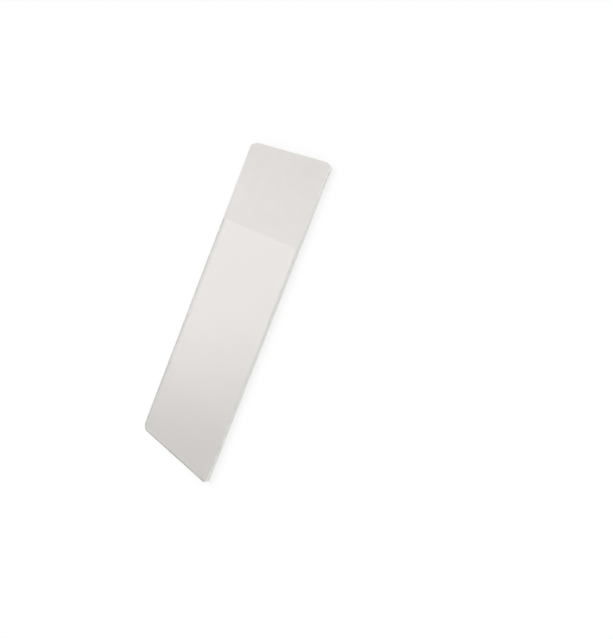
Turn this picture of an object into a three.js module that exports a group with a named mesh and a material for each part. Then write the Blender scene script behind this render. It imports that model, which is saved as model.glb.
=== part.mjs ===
// Microscope slide: one flat plate of clear glass with clipped corners and ground edges.
// Millimetres, +Z up. The origin is the centre of the underside, X runs along the length and
// Y across the width, so the plate lies flat on the plane z = 0. The upper face is frosted at
// the +X end: a finish that takes off no glass to speak of, so the solid doesn't show it.
import * as THREE from "three";

const LENGTH = 76.2; // three inches, end to end
const WIDTH = 25.4; // one inch, side to side
const THICKNESS = 1.1; // from one polished face to the other
const ARRIS = 0.12; // width and height of the bevel ground where an edge meets a face

// The corners are taken off one by one on a grinding wheel, so no two cuts are quite alike.
// alongX is what a cut takes off a long side, and alongY what it takes off an end. The right
// end is at +X and the back side at +Y.
const CORNER_CUTS = {
  frontRight: { alongX: 0.9, alongY: 1.35 },
  backRight: { alongX: 0.85, alongY: 1.8 },
  backLeft: { alongX: 1.3, alongY: 1.1 },
  frontLeft: { alongX: 0.85, alongY: 0.75 },
};

const CLEAR_GLASS_COLOUR = 0xdfe3e0;
const POLISHED_ROUGHNESS = 0.05;
const GLASS_OPACITY = 0.35;

// The outline seen from above, anticlockwise from the front end of the right-hand edge.
function clippedRectangle(length, width, cuts) {
  const endX = length / 2;
  const sideY = width / 2;
  const { frontRight, backRight, backLeft, frontLeft } = cuts;
  const outline = new THREE.Shape();
  outline.moveTo(endX, frontRight.alongY - sideY);
  outline.lineTo(endX, sideY - backRight.alongY);
  outline.lineTo(endX - backRight.alongX, sideY);
  outline.lineTo(backLeft.alongX - endX, sideY);
  outline.lineTo(-endX, sideY - backLeft.alongY);
  outline.lineTo(-endX, frontLeft.alongY - sideY);
  outline.lineTo(frontLeft.alongX - endX, -sideY);
  outline.lineTo(endX - frontRight.alongX, -sideY);
  outline.closePath();
  return outline;
}

// A plate of the outline's full size at mid height. Its edges are ground square to the faces,
// with a flat bevel, the arris, all the way round the upper and the lower face.
function plateGeometry(outline, thickness, arris) {
  const geometry = new THREE.ExtrudeGeometry(outline, {
    depth: thickness - 2 * arris,
    bevelEnabled: true,
    bevelThickness: arris,
    bevelSize: arris,
    bevelOffset: -arris,
    bevelSegments: 1,
  });
  geometry.translate(0, 0, arris);
  return geometry;
}

const clearGlass = new THREE.MeshStandardMaterial({
  name: "clear_glass",
  color: CLEAR_GLASS_COLOUR,
  roughness: POLISHED_ROUGHNESS,
  metalness: 0,
  transparent: true,
  opacity: GLASS_OPACITY,
});

const slideOutline = clippedRectangle(LENGTH, WIDTH, CORNER_CUTS);
const slidePlate = new THREE.Mesh(plateGeometry(slideOutline, THICKNESS, ARRIS), clearGlass);
slidePlate.name = "slide_plate";

const microscopeSlide = new THREE.Group();
microscopeSlide.name = "microscope_slide";
microscopeSlide.add(slidePlate);

export default microscopeSlide;
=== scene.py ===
"""Looks of a microscope slide: a clear glass plate with ground edges and one frosted end.

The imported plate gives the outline, the thickness and the mean arris. One operator makes the
detailed plate with its polished, frosted and ground surfaces, and one makes the stage: floor,
soft light and camera.
"""

import math

import bpy
import numpy as np
from mathutils import Matrix, Vector
from mathutils.geometry import delaunay_2d_cdt


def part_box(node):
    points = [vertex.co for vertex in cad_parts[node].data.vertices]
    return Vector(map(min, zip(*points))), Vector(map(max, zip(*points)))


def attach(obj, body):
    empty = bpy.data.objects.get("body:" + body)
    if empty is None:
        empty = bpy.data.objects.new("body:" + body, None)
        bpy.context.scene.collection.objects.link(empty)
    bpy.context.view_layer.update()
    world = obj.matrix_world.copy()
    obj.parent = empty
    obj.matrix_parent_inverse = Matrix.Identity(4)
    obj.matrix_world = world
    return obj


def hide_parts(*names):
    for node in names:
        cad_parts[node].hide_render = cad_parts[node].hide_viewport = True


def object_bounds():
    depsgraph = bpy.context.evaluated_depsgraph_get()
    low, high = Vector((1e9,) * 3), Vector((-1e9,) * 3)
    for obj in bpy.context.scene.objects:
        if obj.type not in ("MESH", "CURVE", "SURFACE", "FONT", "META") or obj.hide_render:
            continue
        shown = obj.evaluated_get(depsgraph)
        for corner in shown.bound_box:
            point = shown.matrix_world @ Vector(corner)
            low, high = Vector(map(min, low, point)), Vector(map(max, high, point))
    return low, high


bl_info = {
    "name": "Microscope Slide",
    "version": (1, 0, 0),
    "blender": (4, 5, 0),
    "location": "View3D > Sidebar > Slide",
    "description": "Makes a microscope slide with ground edges and a frosted end, and a studio for it",
    "category": "Object",
}

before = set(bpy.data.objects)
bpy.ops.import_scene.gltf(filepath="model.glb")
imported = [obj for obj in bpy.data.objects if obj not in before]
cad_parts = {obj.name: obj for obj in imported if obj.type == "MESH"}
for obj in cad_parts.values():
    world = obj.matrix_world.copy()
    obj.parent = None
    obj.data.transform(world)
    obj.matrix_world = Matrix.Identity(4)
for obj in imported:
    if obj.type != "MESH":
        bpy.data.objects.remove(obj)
CAD_LOW, CAD_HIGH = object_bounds()

MM = 0.001
CAD_PLATE = "slide_plate"


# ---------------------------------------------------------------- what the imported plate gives

# A place nearer to a face than this lies on it, and corners that agree to this many digits of
# a metre are one.
FACE_CLEARANCE = 0.01 * MM
SAME_PLACE_DIGITS = 7


def packed_outline():
    """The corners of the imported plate's outline, anticlockwise seen from above.

    The plate is convex and at its full size between the two bevels, so these are all the
    corners that lie on neither face, sorted by their direction from the middle.
    """
    low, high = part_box(CAD_PLATE)
    corners = {
        (round(v.co.x, SAME_PLACE_DIGITS), round(v.co.y, SAME_PLACE_DIGITS))
        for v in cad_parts[CAD_PLATE].data.vertices
        if low.z + FACE_CLEARANCE < v.co.z < high.z - FACE_CLEARANCE
    }
    return [Vector(c) for c in sorted(corners, key=lambda c: math.atan2(c[1], c[0]))]


def packed_arris():
    """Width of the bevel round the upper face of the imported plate."""
    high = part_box(CAD_PLATE)[1]
    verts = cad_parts[CAD_PLATE].data.vertices
    return high.x - max(v.co.x for v in verts if v.co.z > high.z - FACE_CLEARANCE)


# ---------------------------------------------------------------- settings


class SlidePlateSettings(bpy.types.PropertyGroup):
    """Shape and surfaces of the plate."""

    arris: bpy.props.FloatProperty(
        name="Arris",
        description="Mean width of the ground bevel where an edge meets a face",
        default=packed_arris(),
        min=0.01 * MM,
        unit="LENGTH",
    )
    corner_radius: bpy.props.FloatProperty(
        name="Corner radius",
        description="How far grinding has rounded each corner of the faces inside the arris",
        default=0.02 * MM,
        min=0.001 * MM,
        unit="LENGTH",
    )
    frosted_length: bpy.props.FloatProperty(
        name="Frosted length",
        description="How far the frosting of the upper face reaches from the +X end",
        default=19.8 * MM,
        min=1.0 * MM,
        unit="LENGTH",
    )
    chip_count: bpy.props.IntProperty(
        name="Chips",
        description="Number of tiny chips that grinding has left along each arris",
        default=70,
        min=0,
    )
    glass_colour: bpy.props.FloatVectorProperty(
        name="Glass",
        description="Colour that the polished glass gives to what is seen through it",
        default=(0.938, 0.912, 0.893),
        size=3,
        subtype="COLOR",
    )
    frosted_colour: bpy.props.FloatVectorProperty(
        name="Frosting",
        description="Colour of the frosted, matt end",
        default=(0.912, 0.887, 0.868),
        size=3,
        subtype="COLOR",
    )
    ground_colour: bpy.props.FloatVectorProperty(
        name="Ground edge",
        description="Colour of the ground, matt edges",
        default=(0.968, 0.985, 0.94),
        size=3,
        subtype="COLOR",
    )


class StageSettings(bpy.types.PropertyGroup):
    """Floor and light."""

    floor_colour: bpy.props.FloatVectorProperty(
        name="Floor",
        description="Colour of the floor",
        default=(0.66, 0.66, 0.66),
        size=3,
        subtype="COLOR",
    )
    room_level: bpy.props.FloatProperty(
        name="Room",
        description="Strength of the even light from the room",
        default=1.1,
        min=0.0,
    )
    rear_level: bpy.props.FloatProperty(
        name="Rear",
        description="Strength of the dimmer light from high up behind the slide",
        default=0.2,
        min=0.0,
    )
    window_level: bpy.props.FloatProperty(
        name="Window",
        description="Strength that the soft bright patch behind the slide adds at its middle",
        default=2.15,
        min=0.0,
    )


# ---------------------------------------------------------------- the plate's shape

SEED = 11

# Steps of the mesh along and across the edge.
RING_STEP = 0.09 * MM
ARC_STEPS = 6
SIDE_STEPS = 8
ARRIS_STEPS = 5

# What grinding leaves: above 1, the crown makes an arris bulge between the face and the side.
# The unevenness is a share of the arris, and it fades out near a corner.
ARRIS_CROWN = 1.25
ARRIS_UNEVENNESS = 0.14
ARRIS_WAVELENGTHS = (23 * MM, 9 * MM, 3.1 * MM, 1.3 * MM)
SIDE_UNEVENNESS = 0.006 * MM
SIDE_WAVELENGTHS = (31 * MM, 12 * MM, 5 * MM)
CHIP_HALF_WIDTHS = (0.06 * MM, 0.22 * MM)
CHIP_DEPTHS = (0.012 * MM, 0.05 * MM)
PLAIN_NEAR_CORNER = 0.8 * MM

FROST_LINE_STEP = 0.12 * MM
FROST_LINE_WANDER = 0.02 * MM

# The grids inside the faces double their step away from the rim and from the frosting's limit.
GRID_STEPS = (0.1 * MM, 0.2 * MM, 0.4 * MM, 0.8 * MM, 1.6 * MM)
RIM_CLEARANCE = 0.25 * MM

# How delaunay_2d_cdt fills a face: only inside its rim, and exact to this many millimetres.
FILL_INSIDE = 1
FILL_TOLERANCE = 1e-4

# The finishes, in the order of the plate's material slots.
POLISHED, FROSTED, GROUND, SEAMED = range(4)


def rounded_outline(corners, radius):
    """Points round the outline with its corners rounded, each with its outward normal.

    Also gives how far each point lies from the nearest corner, along the straight runs.
    """
    points, normals, from_corner = [], [], []
    count = len(corners)

    def corner_arc(i):
        before = (corners[i] - corners[i - 1]).normalized()
        after = (corners[(i + 1) % count] - corners[i]).normalized()
        turn = before.angle(after)
        return before, turn, radius * math.tan(turn / 2)

    for i, corner in enumerate(corners):
        before, turn, back_off = corner_arc(i)
        first_normal = Vector((before.y, -before.x))
        centre = corner - before * back_off - first_normal * radius
        for k in range(ARC_STEPS + 1):
            normal = Matrix.Rotation(turn * k / ARC_STEPS, 2) @ first_normal
            points.append(centre + normal * radius)
            normals.append(normal)
            from_corner.append(0.0)
        after, _, next_back_off = corner_arc((i + 1) % count)
        start = points[-1]
        end = corners[(i + 1) % count] - after * next_back_off
        length = (end - start).length
        steps = max(2, round(length / RING_STEP))
        for k in range(1, steps):
            points.append(start.lerp(end, k / steps))
            normals.append(normals[-1])
            from_corner.append(length * min(k, steps - k) / steps)
    return np.array(points), np.array(normals), np.array(from_corner)


def along_outline(points):
    """Distance along the closed outline to each point, and the whole way round."""
    steps = np.linalg.norm(np.roll(points, -1, axis=0) - points, axis=1)
    return np.concatenate([[0.0], np.cumsum(steps)[:-1]]), steps.sum()


def gentle_waves(distance, whole, wavelengths, random):
    """A smooth wander between about -1 and 1 that closes on itself round the outline."""
    total = np.zeros_like(distance)
    for wavelength in wavelengths:
        turns = max(1, round(whole / wavelength))
        total += np.cos(math.tau * (turns * distance / whole + random.random()))
    return total / len(wavelengths)


def chips(distance, whole, count, random):
    """Depth at each point of a row of small scoops at random places round the outline."""
    depth = np.zeros_like(distance)
    for _ in range(count):
        centre = random.random() * whole
        half_width = random.uniform(*CHIP_HALF_WIDTHS)
        gap = np.abs(distance - centre)
        gap = np.minimum(gap, whole - gap) / half_width
        scoop = np.sqrt(np.clip(1 - gap**2, 0, 1)) * random.uniform(*CHIP_DEPTHS)
        depth = np.maximum(depth, scoop)
    return depth


def arris_rings(points, normals, widths, face_height, inward):
    """Rings of a slightly crowned bevel, from the face's rim to the side."""
    rings = []
    for k in range(ARRIS_STEPS + 1):
        share = k / ARRIS_STEPS
        inset = widths * (1 - share) ** ARRIS_CROWN
        drop = widths * share**ARRIS_CROWN
        ring = points - normals * inset[:, None]
        rings.append(np.column_stack([ring, face_height + inward * drop]))
    return rings


def edge_rings(settings, random):
    """Rings of places round the edge, from the rim of the upper face to that of the underside."""
    low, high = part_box(CAD_PLATE)
    radius = settings.arris + settings.corner_radius
    points, normals, from_corner = rounded_outline(packed_outline(), radius)
    distance, whole = along_outline(points)
    straight = np.clip(from_corner / PLAIN_NEAR_CORNER, 0, 1)

    def uneven_widths():
        waves = gentle_waves(distance, whole, ARRIS_WAVELENGTHS, random)
        chipped = chips(distance, whole, settings.chip_count, random)
        return settings.arris * (1 + ARRIS_UNEVENNESS * waves * straight) + chipped * straight

    high_widths, low_widths = uneven_widths(), uneven_widths()
    waves = gentle_waves(distance, whole, SIDE_WAVELENGTHS, random)
    inset = SIDE_UNEVENNESS * (1 - waves) / 2 * straight
    side = points - normals * inset[:, None]
    side_rings = []
    for k in range(1, SIDE_STEPS):
        share = k / SIDE_STEPS
        heights = (high.z - high_widths) * (1 - share) + (low.z + low_widths) * share
        side_rings.append(np.column_stack([side, heights]))
    high_arris = arris_rings(side, normals, high_widths, high.z, -1)
    low_arris = arris_rings(side, normals, low_widths, low.z, 1)
    return [*high_arris, *side_rings, *reversed(low_arris)]


def frost_line(rim, frost_x, random):
    """The frosting's uneven limit: its ends, as numbers of rim places, and the places between."""
    off_line = np.abs(rim[:, 0] - frost_x)
    front = int(np.argmin(np.where(rim[:, 1] < 0, off_line, np.inf)))
    back = int(np.argmin(np.where(rim[:, 1] > 0, off_line, np.inf)))
    steps = round(np.linalg.norm(rim[back] - rim[front]) / FROST_LINE_STEP)
    shares = np.arange(1, steps) / steps
    line = rim[front] + shares[:, None] * (rim[back] - rim[front])
    line[:, 0] += random.uniform(-FROST_LINE_WANDER, FROST_LINE_WANDER, len(line))
    return front, back, line


def places_inside(corners, frost_x):
    """Places on square grids that get coarser away from the outline and from the frost line."""
    corners = np.array(corners)
    low, high = corners.min(axis=0), corners.max(axis=0)
    sides = np.roll(corners, -1, axis=0) - corners
    inward = np.column_stack([-sides[:, 1], sides[:, 0]])
    inward /= np.linalg.norm(sides, axis=1)[:, None]
    places = []
    for step in GRID_STEPS:
        xs, ys = (np.arange(start, end, step) for start, end in zip(low, high))
        grid = np.stack(np.meshgrid(xs, ys), axis=-1).reshape(-1, 2)
        from_sides = ((grid[:, None] - corners) * inward).sum(axis=2).min(axis=1)
        gap = np.minimum(from_sides - RIM_CLEARANCE, np.abs(grid[:, 0] - frost_x))
        reach = np.inf if step == GRID_STEPS[-1] else 2 * step
        places.append(grid[(gap >= step) & (gap < reach)])
    return np.concatenate(places)


def fill(verts, loop, inside):
    """Well-shaped triangles, anticlockwise from above, that fill a loop and use the verts inside."""
    used = [*loop, *inside]
    flat = [Vector(verts[i][:2] / MM) for i in used]
    sides = [(k, (k + 1) % len(loop)) for k in range(len(loop))]
    filled = delaunay_2d_cdt(flat, sides, [], FILL_INSIDE, FILL_TOLERANCE)
    _, _, triangles, origins, *_ = filled
    if len(origins) != len(used):
        raise RuntimeError("the rim of a face crosses or touches itself")
    return [tuple(used[origins[k][0]] for k in triangle) for triangle in triangles]


def plate_mesh(name, settings):
    """The plate as one closed mesh: an upper face in two finishes, an underside and the edge."""
    random = np.random.RandomState(SEED)
    low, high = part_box(CAD_PLATE)
    rings = edge_rings(settings, random)
    frost_x = high.x - settings.frosted_length
    front, back, line = frost_line(rings[0], frost_x, random)
    places = places_inside(packed_outline(), frost_x)
    high_places = np.column_stack([places, np.full(len(places), high.z)])
    low_places = np.column_stack([places, np.full(len(places), low.z)])
    verts = np.concatenate([*rings, line, high_places, low_places])

    count = len(rings[0])
    sizes = [len(rings) * count, len(line), len(places), len(places)]
    rings_end, line_end, high_end, low_end = np.cumsum(sizes)
    across = range(rings_end, line_end)
    above = np.arange(line_end, high_end)
    in_frosting = places[:, 0] > frost_x
    frosted_loop = [*range(front, back + 1), *reversed(across)]
    clear_loop = [*range(back, count), *range(front + 1), *across]
    frosted = fill(verts, frosted_loop, above[in_frosting])
    clear = fill(verts, clear_loop, above[~in_frosting])
    under = fill(verts, range(rings_end - count, rings_end), range(high_end, low_end))
    faces = [*frosted, *clear, *(triangle[::-1] for triangle in under)]
    kinds = [FROSTED] * len(frosted) + [POLISHED] * (len(clear) + len(under))
    for r in range(len(rings) - 1):
        on_arris = min(r, len(rings) - 2 - r) < ARRIS_STEPS
        for i in range(count):
            j = (i + 1) % count
            upper, lower = r * count, (r + 1) * count
            faces.append((upper + i, lower + i, lower + j, upper + j))
            kinds.append(SEAMED if on_arris else GROUND)

    mesh = bpy.data.meshes.new(name)
    mesh.from_pydata(verts.tolist(), [], faces)
    mesh.polygons.foreach_set("material_index", kinds)
    mesh.polygons.foreach_set("use_smooth", [kind in (GROUND, SEAMED) for kind in kinds])
    mesh.update()
    if mesh.validate():
        raise RuntimeError("the plate's mesh had faults")
    return mesh


# ---------------------------------------------------------------- node helpers

WHITE = (1, 1, 1, 1)

# Most of a noise lies between these.
NOISE_MIDDLE = (0.3, 0.7)

# How many finer layers a noise adds to its own.
SMOOTH, PLAIN, CRISP = 1.0, 2.0, 3.0


def new_material(name):
    """A new material, its node tree and its Principled shader."""
    material = bpy.data.materials.new(name)
    material.use_nodes = True
    tree = material.node_tree
    return material, tree, tree.nodes["Principled BSDF"]


def math_node(tree, operation, first, second):
    """One operation on a value and on another value or a number."""
    node = tree.nodes.new("ShaderNodeMath")
    node.operation = operation
    tree.links.new(first, node.inputs[0])
    if isinstance(second, bpy.types.NodeSocket):
        tree.links.new(second, node.inputs[1])
    else:
        node.inputs[1].default_value = second
    return node.outputs["Value"]


def map_range(tree, value, source, target, curve="LINEAR"):
    """A value carried from one range to another, and held at the ends of that one."""
    node = tree.nodes.new("ShaderNodeMapRange")
    node.interpolation_type = curve
    for name, level in zip(("From Min", "From Max", "To Min", "To Max"), (*source, *target)):
        node.inputs[name].default_value = level
    tree.links.new(value, node.inputs["Value"])
    return node.outputs["Result"]


def noise(tree, scale, stretch=(1, 1, 1), detail=PLAIN):
    """Noise with about this many features to the metre, times the stretch along each axis."""
    coordinates = tree.nodes.new("ShaderNodeTexCoord")
    mapping = tree.nodes.new("ShaderNodeMapping")
    mapping.inputs["Scale"].default_value = stretch
    tree.links.new(coordinates.outputs["Object"], mapping.inputs["Vector"])
    node = tree.nodes.new("ShaderNodeTexNoise")
    node.inputs["Scale"].default_value = scale
    node.inputs["Detail"].default_value = detail
    tree.links.new(mapping.outputs["Vector"], node.inputs["Vector"])
    return node.outputs["Fac"]


def scaled(colour, factor):
    """A colour made this many times as bright, up to white, with its alpha."""
    return (*(min(1.0, part * factor) for part in colour), 1)


def toned(tree, pattern, colour, tones):
    """A colour that a pattern makes darker or lighter, from the first to the second tone."""
    node = tree.nodes.new("ShaderNodeMix")
    node.data_type = "RGBA"
    sockets = {socket.identifier: socket for socket in (*node.inputs, *node.outputs)}
    sockets["A_Color"].default_value = scaled(colour, tones[0])
    sockets["B_Color"].default_value = scaled(colour, tones[1])
    share = map_range(tree, pattern, NOISE_MIDDLE, (0, 1))
    tree.links.new(share, sockets["Factor_Float"])
    return sockets["Result_Color"]


def bump(tree, height, depth, below=None):
    """A normal for a relief this deep, laid over the relief below where there is one."""
    node = tree.nodes.new("ShaderNodeBump")
    node.inputs["Distance"].default_value = depth
    tree.links.new(height, node.inputs["Height"])
    if below is not None:
        tree.links.new(below, node.inputs["Normal"])
    return node.outputs["Normal"]


# ---------------------------------------------------------------- the plate's surfaces

GLASS_IOR = 1.52

# Sheet glass is drawn along Y here, across the plates that are cut from it.
DRAW_STRETCH = (1, 0.25, 1)
DRAW_TONE_SCALE = 60
DRAW_TONES = (0.992, 1.008)
DRAW_WAVE_SCALE = 90
DRAW_WAVE_DEPTH = 0.004 * MM
POLISH_SCALE = 900
POLISH_ROUGHNESS = (0.0, 0.03)

# Painted shade: the frosting's colour gets darker from its limit to the tip of the slide.
FROST_SHADE_TONES = (1.03, 0.965)
FROST_CLOUD_SCALE = 350
FROST_TONES = (0.987, 1.013)
FROST_GRAIN_SCALE = 11000
FROST_GRAIN_DEPTH = 0.01 * MM
FROST_ROUGHNESS = (0.6, 0.8)
FROST_TRANSMISSION = 0.5

# The wheel's lines run along the edges, so they are fine in Z and long in X and Y.
WHEEL_STRETCH = (1, 1, 25)
WHEEL_LINE_SCALE = 500
WHEEL_LINE_DEPTH = 0.02 * MM
GROUND_GRAIN_SCALE = 8000
GROUND_GRAIN_DEPTH = 0.008 * MM
GROUND_PATCH_SCALE = 700
GROUND_TONES = (0.95, 1.03)
GROUND_ROUGHNESS = (0.42, 0.68)
GROUND_TRANSLUCENCY = 0.3
SEAMED_TONES = (0.9, 1.02)
SEAMED_ROUGHNESS = (0.35, 0.6)
SEAMED_TRANSMISSION = 0.45


def finish_glass(tree, shader, colour, polish, roughness, relief):
    """Give a shader its colour, a roughness that follows the polish, and its relief."""
    tree.links.new(colour, shader.inputs["Base Color"])
    tree.links.new(map_range(tree, polish, NOISE_MIDDLE, roughness), shader.inputs["Roughness"])
    tree.links.new(relief, shader.inputs["Normal"])
    shader.inputs["IOR"].default_value = GLASS_IOR


def polished_glass(settings):
    """Drawn sheet glass: almost perfectly smooth, with the faint waves that drawing leaves."""
    material, tree, shader = new_material("polished_glass")
    streaks = noise(tree, DRAW_TONE_SCALE, DRAW_STRETCH, SMOOTH)
    colour = toned(tree, streaks, settings.glass_colour, DRAW_TONES)
    polish = noise(tree, POLISH_SCALE, detail=CRISP)
    waves = bump(tree, noise(tree, DRAW_WAVE_SCALE, DRAW_STRETCH, SMOOTH), DRAW_WAVE_DEPTH)
    finish_glass(tree, shader, colour, polish, POLISH_ROUGHNESS, waves)
    shader.inputs["Transmission Weight"].default_value = 1.0
    return material


def shaded_towards_tip(tree, colour, settings):
    """The frosting's colour with painted shade, a little darker towards the tip of the slide."""
    coordinates = tree.nodes.new("ShaderNodeTexCoord")
    parts = tree.nodes.new("ShaderNodeSeparateXYZ")
    tree.links.new(coordinates.outputs["Object"], parts.inputs["Vector"])
    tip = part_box(CAD_PLATE)[1].x
    reach = (tip - settings.frosted_length, tip)
    shaded = tree.nodes.new("ShaderNodeVectorMath")
    shaded.operation = "SCALE"
    tree.links.new(colour, shaded.inputs["Vector"])
    shade = map_range(tree, parts.outputs["X"], reach, FROST_SHADE_TONES)
    tree.links.new(shade, shaded.inputs["Scale"])
    return shaded.outputs["Vector"]


def frosted_glass(settings):
    """Finely blasted glass: a translucent white with a sand-fine grain."""
    material, tree, shader = new_material("frosted_glass")
    clouds = noise(tree, FROST_CLOUD_SCALE, detail=CRISP)
    colour = toned(tree, clouds, settings.frosted_colour, FROST_TONES)
    grain = noise(tree, FROST_GRAIN_SCALE)
    relief = bump(tree, grain, FROST_GRAIN_DEPTH)
    # The frosting's colour gets painted shade, darker towards the tip.
    finish_glass(tree, shader, shaded_towards_tip(tree, colour, settings), grain, FROST_ROUGHNESS, relief)
    shader.inputs["Transmission Weight"].default_value = FROST_TRANSMISSION
    return material


def wheel_ground(tree, shader, colour, tones, roughness):
    """Give a shader the patches, grain and lines of a grinding wheel.

    Returns its colour and relief, for a second shader to share.
    """
    patches = noise(tree, GROUND_PATCH_SCALE, detail=CRISP)
    patched = toned(tree, patches, colour, tones)
    grain = noise(tree, GROUND_GRAIN_SCALE)
    lined = bump(tree, noise(tree, WHEEL_LINE_SCALE, WHEEL_STRETCH), WHEEL_LINE_DEPTH)
    relief = bump(tree, grain, GROUND_GRAIN_DEPTH, lined)
    finish_glass(tree, shader, patched, grain, roughness, relief)
    return patched, relief


def ground_glass(settings):
    """The sides: matt, faintly green glass that lets some of the light behind it through."""
    material, tree, shader = new_material("ground_glass")
    colour, relief = wheel_ground(
        tree, shader, settings.ground_colour, GROUND_TONES, GROUND_ROUGHNESS
    )
    through = tree.nodes.new("ShaderNodeBsdfTranslucent")
    tree.links.new(colour, through.inputs["Color"])
    tree.links.new(relief, through.inputs["Normal"])
    both = tree.nodes.new("ShaderNodeMixShader")
    share_in, matt_in, through_in = both.inputs
    share_in.default_value = GROUND_TRANSLUCENCY
    tree.links.new(shader.outputs["BSDF"], matt_in)
    tree.links.new(through.outputs["BSDF"], through_in)
    tree.links.new(both.outputs["Shader"], tree.nodes["Material Output"].inputs["Surface"])
    return material


def seamed_glass(settings):
    """The arrises: matt glass from a finer wheel, through which the dimmer inside is seen."""
    material, tree, shader = new_material("seamed_glass")
    wheel_ground(tree, shader, settings.ground_colour, SEAMED_TONES, SEAMED_ROUGHNESS)
    shader.inputs["Transmission Weight"].default_value = SEAMED_TRANSMISSION
    return material


class MICROSCOPE_SLIDE_OT_add_plate(bpy.types.Operator):
    """Make the glass plate with its polished faces, frosted end, ground edges and clipped corners"""

    bl_idname = "microscope_slide.add_plate"
    bl_label = "Add Slide Plate"

    def execute(self, context):
        settings = context.scene.slide_plate
        name = "glass_slide"
        plate = bpy.data.objects.new(name, plate_mesh(name, settings))
        context.scene.collection.objects.link(plate)
        for finish in (polished_glass, frosted_glass, ground_glass, seamed_glass):
            plate.data.materials.append(finish(settings))
        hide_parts(CAD_PLATE)
        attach(plate, "root")
        return {"FINISHED"}


# ---------------------------------------------------------------- the stage

FLOOR_REACH = 3.0
FLOOR_GAP = 0.02 * MM

# Brings the lit floor up to white.
FLOOR_GLOW = 0.36

# The room is evenly bright up to the top of its walls. Above them it gets dim behind the slide,
# but for the window, which fades from its core outwards.
REAR_BLEND = 0.4
WALL_TOP = math.radians(24)
REAR_DIM_FROM = math.radians(40)
WINDOW_AZIMUTH = math.radians(85)
WINDOW_ELEVATION = math.radians(44)
WINDOW_CORE = math.radians(8)
WINDOW_REACH = math.radians(30)

# The azimuth is turned from the -Y side towards the +X end.
CAMERA_AZIMUTH = math.radians(6.59)
CAMERA_ELEVATION = math.radians(53.04)
CAMERA_ROLL = math.radians(73.68)
CAMERA_DISTANCE = 117.0 * MM
CAMERA_AIM = (14.05 * MM, -19.83 * MM)
CAMERA_LENS = 31.464
CAMERA_SHIFT = (-0.0115, -0.0642)
CAMERA_SENSOR = 36.0
CAMERA_SEES = (1 * MM, 20.0)


def floor_material(settings):
    """A matt pale floor that glows a little where it is seen, straight on or in and through glass.

    The glow makes it white to the eye, and leaves it its shadow.
    """
    material = bpy.data.materials.new("matt_floor")
    material.use_nodes = True
    tree = material.node_tree
    tree.nodes.clear()
    matt = tree.nodes.new("ShaderNodeBsdfDiffuse")
    matt.inputs["Color"].default_value = (*settings.floor_colour, 1)
    path = tree.nodes.new("ShaderNodeLightPath")
    camera_ray, glossy_ray = path.outputs["Is Camera Ray"], path.outputs["Is Glossy Ray"]
    seen = math_node(tree, "MAXIMUM", camera_ray, glossy_ray)
    seen = math_node(tree, "MAXIMUM", seen, path.outputs["Is Transmission Ray"])
    glow = tree.nodes.new("ShaderNodeEmission")
    glow.inputs["Color"].default_value = WHITE
    tree.links.new(math_node(tree, "MULTIPLY", seen, FLOOR_GLOW), glow.inputs["Strength"])
    both = tree.nodes.new("ShaderNodeAddShader")
    matt_in, glow_in = both.inputs
    tree.links.new(matt.outputs["BSDF"], matt_in)
    tree.links.new(glow.outputs["Emission"], glow_in)
    out = tree.nodes.new("ShaderNodeOutputMaterial")
    tree.links.new(both.outputs["Shader"], out.inputs["Surface"])
    return material


def add_floor(scene, settings):
    """A wide square floor, just clear of the underside."""
    z = CAD_LOW.z - FLOOR_GAP
    r = FLOOR_REACH
    mesh = bpy.data.meshes.new("floor")
    mesh.from_pydata([(-r, -r, z), (r, -r, z), (r, r, z), (-r, r, z)], [], [(0, 1, 2, 3)])
    mesh.materials.append(floor_material(settings))
    floor = bpy.data.objects.new("floor", mesh)
    scene.collection.objects.link(floor)


def direction(azimuth, elevation):
    """Unit vector at an angle anticlockwise from +X and an angle up from the floor."""
    level = math.cos(elevation)
    return Vector((math.cos(azimuth) * level, math.sin(azimuth) * level, math.sin(elevation)))


def add_soft_light(scene, settings):
    """An evenly bright room, dimmer high up behind the slide but for a broad soft window."""
    world = bpy.data.worlds.new("soft_studio")
    scene.world = world
    world.use_nodes = True
    tree = world.node_tree
    tree.nodes.clear()
    towards = tree.nodes.new("ShaderNodeTexCoord").outputs["Generated"]
    parts = tree.nodes.new("ShaderNodeSeparateXYZ")
    tree.links.new(towards, parts.inputs["Vector"])
    heights = (math.sin(WALL_TOP), math.sin(REAR_DIM_FROM))
    behind = map_range(tree, parts.outputs["Y"], (-REAR_BLEND, REAR_BLEND), (0, 1), "SMOOTHSTEP")
    high_up = map_range(tree, parts.outputs["Z"], heights, (0, 1), "SMOOTHSTEP")
    dimness = math_node(tree, "MULTIPLY", behind, high_up)
    room = map_range(tree, dimness, (0, 1), (settings.room_level, settings.rear_level))
    nearness = tree.nodes.new("ShaderNodeVectorMath")
    nearness.operation = "DOT_PRODUCT"
    nearness.inputs[1].default_value = direction(WINDOW_AZIMUTH, WINDOW_ELEVATION)
    tree.links.new(towards, nearness.inputs[0])
    rims = (math.cos(WINDOW_REACH), math.cos(WINDOW_CORE))
    levels = (0, settings.window_level)
    window = map_range(tree, nearness.outputs["Value"], rims, levels, "SMOOTHSTEP")
    light = tree.nodes.new("ShaderNodeBackground")
    light.inputs["Color"].default_value = WHITE
    tree.links.new(math_node(tree, "ADD", room, window), light.inputs["Strength"])
    out = tree.nodes.new("ShaderNodeOutputWorld")
    tree.links.new(light.outputs["Background"], out.inputs["Surface"])


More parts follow.
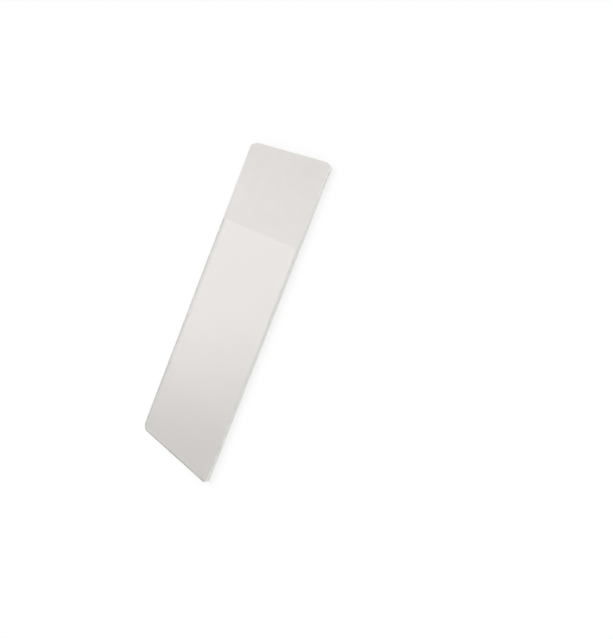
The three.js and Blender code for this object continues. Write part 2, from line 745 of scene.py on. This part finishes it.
def add_camera(scene):
    """A camera that looks down on the upper face from the front, with the frosted end up."""
    back = direction(CAMERA_AZIMUTH - math.pi / 2, CAMERA_ELEVATION)
    aim = Vector((*CAMERA_AIM, CAD_HIGH.z))
    data = bpy.data.cameras.new("camera")
    data.lens = CAMERA_LENS
    data.sensor_width = CAMERA_SENSOR
    data.shift_x, data.shift_y = CAMERA_SHIFT
    data.clip_start, data.clip_end = CAMERA_SEES
    camera = bpy.data.objects.new("camera", data)
    turn = back.to_track_quat("Z", "Y").to_matrix() @ Matrix.Rotation(-CAMERA_ROLL, 3, "Z")
    camera.matrix_world = Matrix.Translation(aim + back * CAMERA_DISTANCE) @ turn.to_4x4()
    scene.collection.objects.link(camera)
    scene.camera = camera


class MICROSCOPE_SLIDE_OT_add_stage(bpy.types.Operator):
    """Make the floor, the soft light and the camera"""

    bl_idname = "microscope_slide.add_stage"
    bl_label = "Add Stage"

    def execute(self, context):
        settings = context.scene.slide_stage
        add_floor(context.scene, settings)
        add_soft_light(context.scene, settings)
        add_camera(context.scene)
        context.scene.view_settings.view_transform = "Standard"
        return {"FINISHED"}


# ---------------------------------------------------------------- the add-on


class VIEW3D_PT_microscope_slide(bpy.types.Panel):
    """Operators and settings of the slide"""

    bl_label = "Microscope Slide"
    bl_space_type = "VIEW_3D"
    bl_region_type = "UI"
    bl_category = "Slide"

    def draw(self, context):
        layout = self.layout
        for operator, settings in (
            (MICROSCOPE_SLIDE_OT_add_plate, context.scene.slide_plate),
            (MICROSCOPE_SLIDE_OT_add_stage, context.scene.slide_stage),
        ):
            layout.operator(operator.bl_idname)
            for prop in settings.__annotations__:
                layout.prop(settings, prop)


CLASSES = (
    SlidePlateSettings,
    StageSettings,
    MICROSCOPE_SLIDE_OT_add_plate,
    MICROSCOPE_SLIDE_OT_add_stage,
    VIEW3D_PT_microscope_slide,
)


def register():
    for cls in CLASSES:
        bpy.utils.register_class(cls)
    bpy.types.Scene.slide_plate = bpy.props.PointerProperty(type=SlidePlateSettings)
    bpy.types.Scene.slide_stage = bpy.props.PointerProperty(type=StageSettings)


def unregister():
    del bpy.types.Scene.slide_stage
    del bpy.types.Scene.slide_plate
    for cls in reversed(CLASSES):
        bpy.utils.unregister_class(cls)


def main():
    register()
    bpy.ops.microscope_slide.add_plate()
    bpy.ops.microscope_slide.add_stage()


if __name__ == "__main__":
    main()
